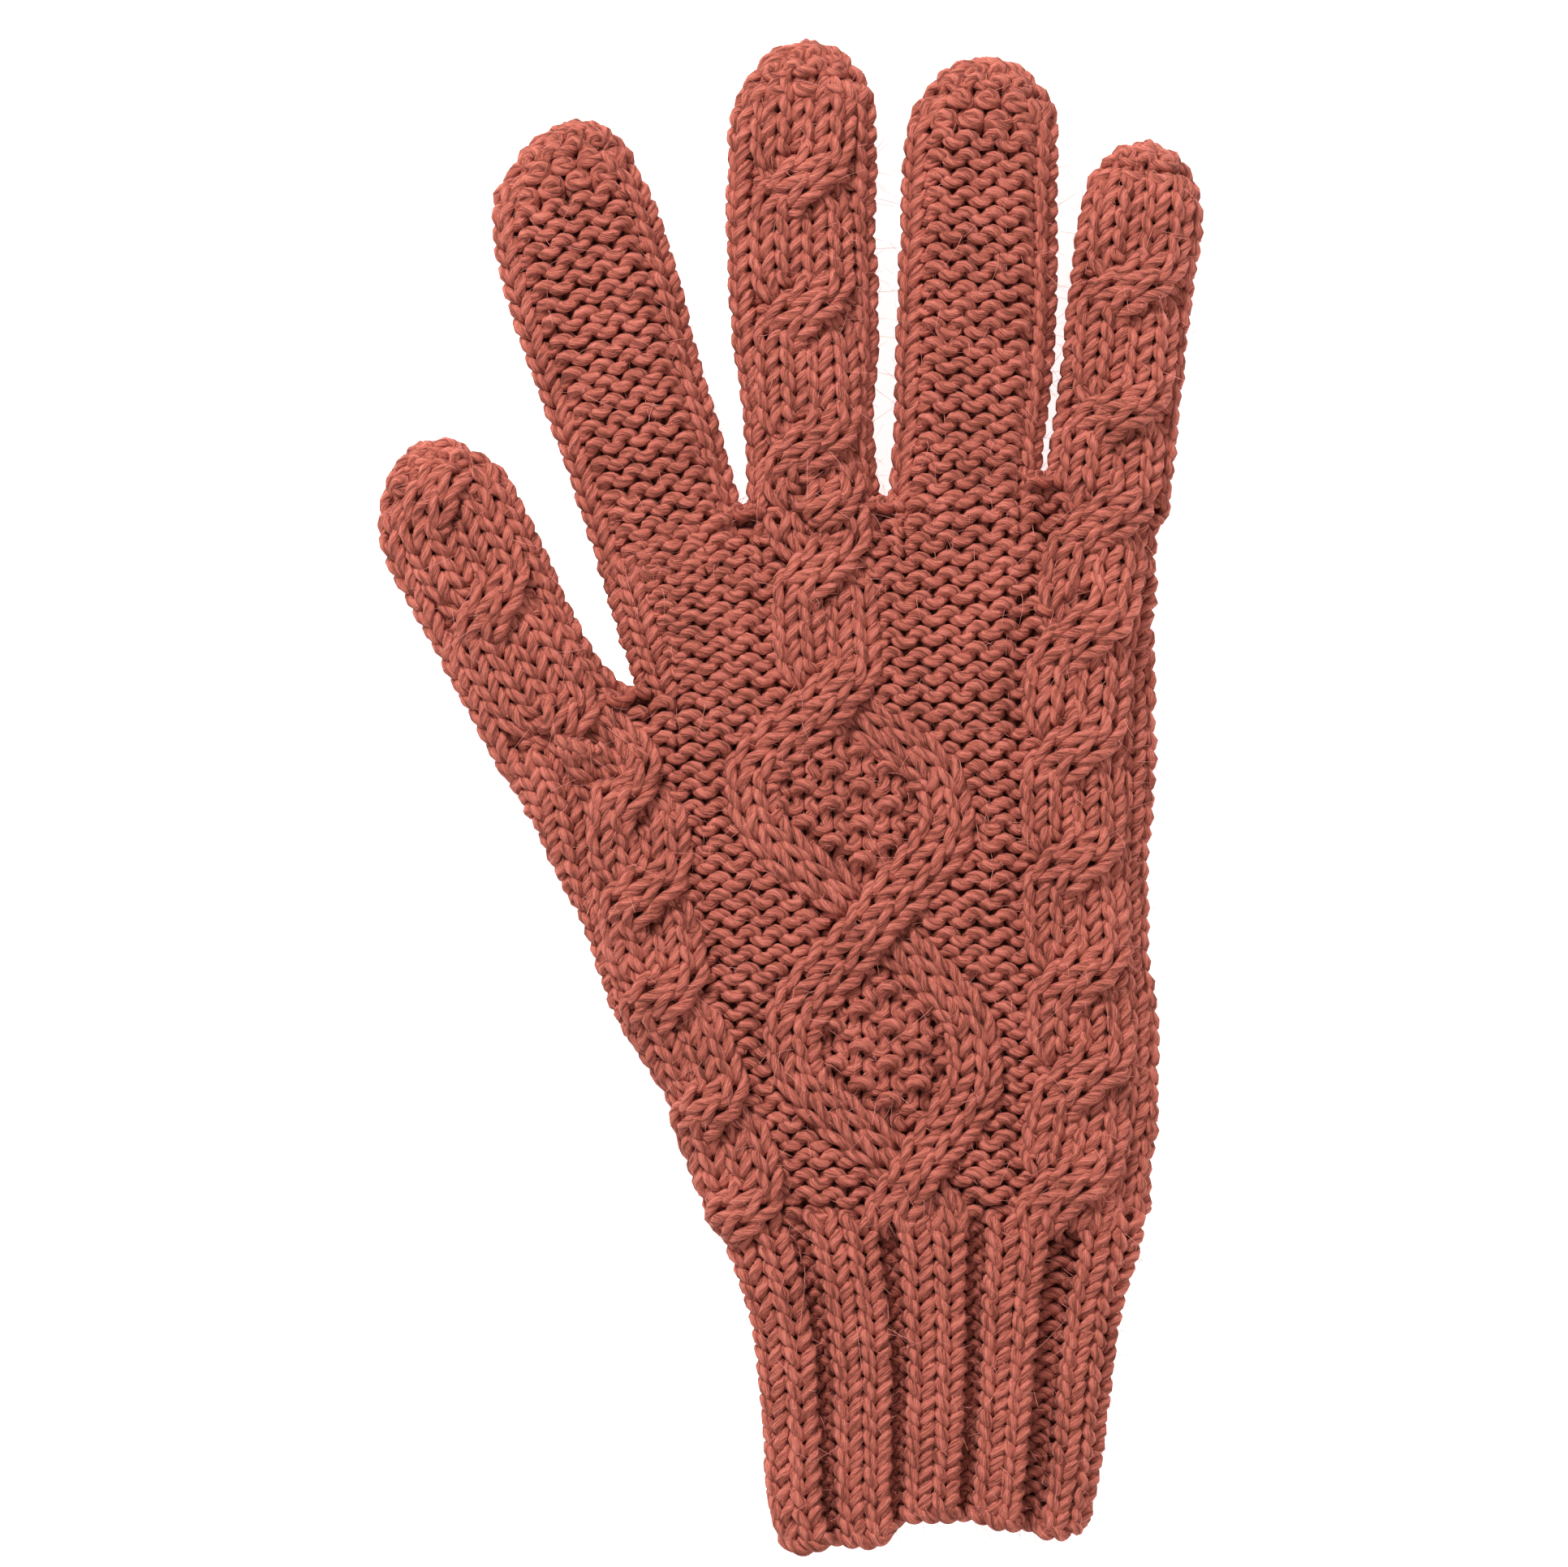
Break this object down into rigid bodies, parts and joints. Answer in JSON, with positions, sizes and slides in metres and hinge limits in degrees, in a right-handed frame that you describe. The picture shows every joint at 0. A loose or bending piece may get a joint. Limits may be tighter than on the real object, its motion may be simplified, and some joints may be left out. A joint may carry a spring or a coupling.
{
  "type": "knitted glove",
  "caption": "Right-hand cable-knit glove lying palm down, with a ribbed cuff, diamond and rope cables on the back, and fingers and thumb that bend.",
  "frame": {"origin": "centre of the outline seen from above, on the surface that the palm side rests on", "axes": "+Y from the cuff to the fingertips, +Z out of the back of the hand, the thumb on the -X side"},
  "size_m": [0.1327, 0.2417, 0.0157],
  "materials": {
    "terracotta_yarn": "plied wool-blend yarn, matt with a light halo of loose fibres"
  },
  "bodies": {
    "hand": {"palm_panel": "terracotta_yarn", "back_panel": "terracotta_yarn", "thumb_side_edge": "terracotta_yarn", "little_side_edge": "terracotta_yarn", "thumb_index_web": "terracotta_yarn", "index_middle_web": "terracotta_yarn", "middle_ring_web": "terracotta_yarn", "ring_little_web": "terracotta_yarn", "thumb_side_cable": "terracotta_yarn", "little_side_cable": "terracotta_yarn", "centre_cable": "terracotta_yarn", "lower_diamond_left_strand": "terracotta_yarn", "lower_diamond_right_strand": "terracotta_yarn", "lower_diamond_moss": "terracotta_yarn", "upper_diamond_left_strand": "terracotta_yarn", "upper_diamond_right_strand": "terracotta_yarn", "upper_diamond_moss": "terracotta_yarn", "diamond_crossings": "terracotta_yarn", "wrist_band": "terracotta_yarn", "thumb_knuckle_band": "terracotta_yarn", "index_knuckle_band": "terracotta_yarn", "middle_knuckle_band": "terracotta_yarn", "ring_knuckle_band": "terracotta_yarn", "little_knuckle_band": "terracotta_yarn"},
    "cuff": {"cuff_palm_panel": "terracotta_yarn", "cuff_back_panel": "terracotta_yarn", "cuff_thumb_edge": "terracotta_yarn", "cuff_little_edge": "terracotta_yarn", "cuff_back_ribs": "terracotta_yarn", "cuff_palm_ribs": "terracotta_yarn", "cast_on_edge": "terracotta_yarn"},
    "thumb_lower": {"thumb_lower_tube": "terracotta_yarn", "thumb_middle_band": "terracotta_yarn", "thumb_lower_cable": "terracotta_yarn"},
    "thumb_upper": {"thumb_upper_tube": "terracotta_yarn", "thumb_tip": "terracotta_yarn", "thumb_upper_cable": "terracotta_yarn"},
    "index_lower": {"index_lower_tube": "terracotta_yarn", "index_middle_band": "terracotta_yarn"},
    "index_upper": {"index_upper_tube": "terracotta_yarn", "index_tip": "terracotta_yarn"},
    "middle_lower": {"middle_lower_tube": "terracotta_yarn", "middle_middle_band": "terracotta_yarn", "middle_lower_cable": "terracotta_yarn"},
    "middle_upper": {"middle_upper_tube": "terracotta_yarn", "middle_tip": "terracotta_yarn", "middle_upper_cable": "terracotta_yarn"},
    "ring_lower": {"ring_lower_tube": "terracotta_yarn", "ring_middle_band": "terracotta_yarn"},
    "ring_upper": {"ring_upper_tube": "terracotta_yarn", "ring_tip": "terracotta_yarn"},
    "little_lower": {"little_lower_tube": "terracotta_yarn", "little_middle_band": "terracotta_yarn", "little_lower_cable": "terracotta_yarn"},
    "little_upper": {"little_upper_tube": "terracotta_yarn", "little_tip": "terracotta_yarn", "little_upper_cable": "terracotta_yarn"}
  },
  "joints": [
    {"name": "wrist_bend", "type": "hinge", "parent": "hand", "child": "cuff", "pos_m": [0.0226, -0.066, 0.0065], "axis": [1, 0, 0], "range_deg": [-40, 40], "deforming": ["wrist_band"]},
    {"name": "thumb_knuckle_bend", "type": "hinge", "parent": "hand", "child": "thumb_lower", "pos_m": [-0.0403, 0.0176, 0.0065], "axis": [0.9063, 0.4226, 0], "range_deg": [-50, 20], "deforming": ["thumb_knuckle_band"]},
    {"name": "thumb_middle_bend", "type": "hinge", "parent": "thumb_lower", "child": "thumb_upper", "pos_m": [-0.04833, 0.03482, 0.0065], "axis": [0.9063, 0.4226, 0], "range_deg": [-80, 0], "deforming": ["thumb_middle_band"]},
    {"name": "index_knuckle_bend", "type": "hinge", "parent": "hand", "child": "index_lower", "pos_m": [-0.0217, 0.0515, 0.0065], "axis": [-1, 0, 0], "range_deg": [-20, 90], "deforming": ["index_knuckle_band"]},
    {"name": "index_middle_bend", "type": "hinge", "parent": "index_lower", "child": "index_upper", "pos_m": [-0.0293, 0.07636, 0.0065], "axis": [-0.9563, -0.2924, 0], "range_deg": [0, 90], "deforming": ["index_middle_band"]},
    {"name": "middle_knuckle_bend", "type": "hinge", "parent": "hand", "child": "middle_lower", "pos_m": [0.0044, 0.0535, 0.0065], "axis": [-1, 0, 0], "range_deg": [-20, 90], "deforming": ["middle_knuckle_band"]},
    {"name": "middle_middle_bend", "type": "hinge", "parent": "middle_lower", "child": "middle_upper", "pos_m": [0.00356, 0.08349, 0.0065], "axis": [-0.9996, -0.0279, 0], "range_deg": [0, 90], "deforming": ["middle_middle_band"]},
    {"name": "ring_knuckle_bend", "type": "hinge", "parent": "hand", "child": "ring_lower", "pos_m": [0.0295, 0.054, 0.0065], "axis": [-1, 0, 0], "range_deg": [-20, 90], "deforming": ["ring_knuckle_band"]},
    {"name": "ring_middle_bend", "type": "hinge", "parent": "ring_lower", "child": "ring_upper", "pos_m": [0.03061, 0.08298, 0.0065], "axis": [-0.9993, 0.0384, 0], "range_deg": [0, 90], "deforming": ["ring_middle_band"]},
    {"name": "little_knuckle_bend", "type": "hinge", "parent": "hand", "child": "little_lower", "pos_m": [0.0524, 0.058, 0.0065], "axis": [-1, 0, 0], "range_deg": [-20, 90], "deforming": ["little_knuckle_band"]},
    {"name": "little_middle_bend", "type": "hinge", "parent": "little_lower", "child": "little_upper", "pos_m": [0.05465, 0.07938, 0.0065], "axis": [-0.9945, 0.1045, 0], "range_deg": [0, 90], "deforming": ["little_middle_band"]}
  ]
}
